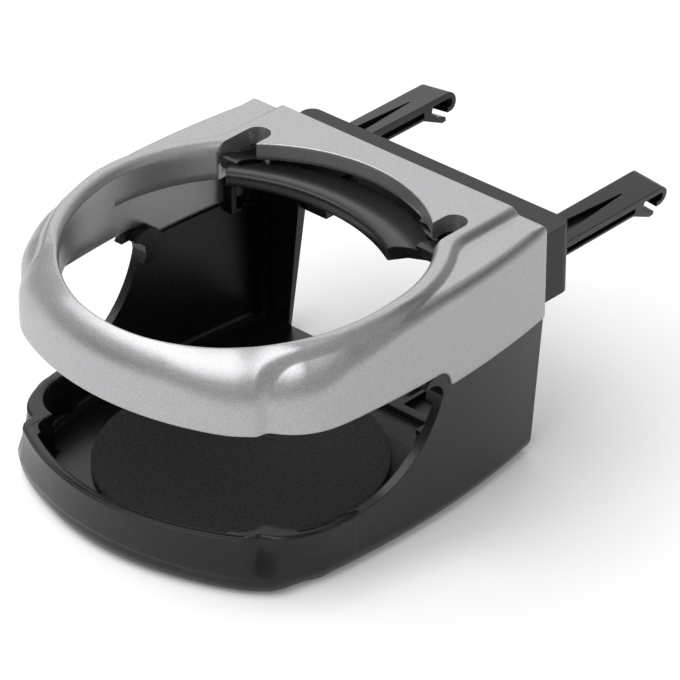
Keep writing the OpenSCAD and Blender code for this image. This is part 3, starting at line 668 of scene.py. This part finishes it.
# Foam pad
def foam_disc():
    """Round foam pad: a profile of (radius, height) points turned about its axis, with a soft upper edge,
    and a top that waves by 0.05 mm as the product of a sine of the angle and one of the radius."""
    pad_y = -1.0
    pad_r = 31.0
    profile = [(0.01, 3.0), (29, 3.0), (30.7, 3.02), (pad_r, 3.4), (pad_r, 4.1), (30.8, 4.5), (30.3, 4.74)]
    profile += [(r, 4.8) for r in (29.5, 28, 25, 21, 17, 13, 9, 5, 2, 0.01)]
    a = np.radians(np.linspace(0, 360, 181)[:-1])[:, None]
    r, z = np.array(profile).T
    wave = 0.05 * np.sin(3 * a + 0.6) * np.sin(r / pad_r * 5) * (z > 4.5)
    pts = np.stack([r * np.cos(a), pad_y + r * np.sin(a), z + wave], -1)
    pad = grid_object("foam_disc", pts, "holder", "foam_pad")
    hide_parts("pad")


ring_cover()
cover_bosses()
flap_piece()
flap_barrel()
basket_front()
foam_disc()


# Camera at the photograph's angle, in metres
AZIMUTH = math.radians(42.5)
ELEVATION = math.radians(31.5)
FOCAL = 4500.0  # in pixels of a picture 680 wide
DISTANCE = 0.9383
TARGET = Vector((0.00002, 0.02905, 0.01863))


def place(name, data, location, towards):
    """Puts a camera, lamp or card in the scene, with its local Z axis along the direction towards."""
    o = bpy.data.objects.new(name, data)
    o.location = location
    o.rotation_euler = towards.to_track_quat("Z", "Y").to_euler()
    bpy.context.scene.collection.objects.link(o)
    return o


lens = bpy.data.cameras.new("camera")
lens.sensor_width = 36.0
lens.lens = lens.sensor_width * FOCAL / 680.0
lens.clip_start = 0.05
lens.clip_end = 20.0
level_part = math.cos(ELEVATION)
back = Vector((math.sin(AZIMUTH) * level_part, -math.cos(AZIMUTH) * level_part, math.sin(ELEVATION)))
bpy.context.scene.camera = place("camera", lens, TARGET + DISTANCE * back, back)


# Studio: two softboxes, two dark cards, the world and a white floor, in metres and watts
def softbox(name, location, aim, size, power):
    """A rectangular area lamp of a size in metres that shines at a point."""
    lamp = bpy.data.lights.new(name, "AREA")
    lamp.shape = "RECTANGLE"
    lamp.size, lamp.size_y = size
    lamp.energy = power
    place(name, lamp, location, Vector(location) - Vector(aim))


def square(name, half):
    """A flat square mesh about the origin, half its side to each side of it."""
    me = bpy.data.meshes.new(name)
    corners = [(-half, -half, 0), (half, -half, 0), (half, half, 0), (-half, half, 0)]
    me.from_pydata(corners, [], [(0, 1, 2, 3)])
    return me


def dark_card(name, location, aim, size):
    """A square card of black cloth beside the set, which gives the silver its dark reflections."""
    me = square(name, size / 2)
    cloth, _, shader, _ = material(name + "_black_cloth")
    shader.inputs["Base Color"].default_value = srgb("#1A1A1A")
    shader.inputs["Roughness"].default_value = 1.0
    me.materials.append(cloth)
    place(name, me, location, Vector(location) - Vector(aim))


def studio_floor():
    """A matt white floor. Rays from the camera, and those that mirrors and clear parts send on, see it
    lighter, so that the background is white, while it keeps the object's shadow."""
    glow = 0.12
    me = square("floor", 4)
    paper, t, s, _ = material("white_studio_paper")
    rays = node(t, "ShaderNodeLightPath").outputs
    seen = node(t, "ShaderNodeMath", _operation="MAXIMUM", i0=rays["Is Camera Ray"], i1=rays["Is Glossy Ray"])
    seen = node(t, "ShaderNodeMath", _operation="MAXIMUM", i0=seen.outputs[0], i1=rays["Is Transmission Ray"])
    light = node(t, "ShaderNodeMath", _operation="MULTIPLY", i0=seen.outputs[0], i1=glow)
    s.inputs["Base Color"].default_value = srgb("#F9F9F9")
    s.inputs["Roughness"].default_value = 0.9
    s.inputs["Emission Color"].default_value = srgb("#FFFFFF")
    t.links.new(light.outputs[0], s.inputs["Emission Strength"])
    me.materials.append(paper)
    floor = bpy.data.objects.new("floor", me)
    bpy.context.scene.collection.objects.link(floor)


softbox("top_softbox", (-0.17, -0.32, 0.74), (-0.05, -0.08, 0.0), (1.2, 0.6), 6.4)
softbox("left_softbox", (-0.49, 0.53, 0.46), (0, 0, 0.03), (0.8, 0.6), 1.3)
dark_card("back_card", (0.4, 0.48, 0.42), (0, 0, 0.05), 0.42)
dark_card("front_card", (-0.42, -0.62, 0.14), (0, 0, 0.08), 0.3)
studio_floor()

world = bpy.data.worlds.new("studio")
world.use_nodes = True
world.node_tree.nodes["Background"].inputs["Color"].default_value = srgb("#FFFFFF")
world.node_tree.nodes["Background"].inputs["Strength"].default_value = 0.45
bpy.context.scene.world = world

bpy.context.scene.view_settings.view_transform = "Standard"
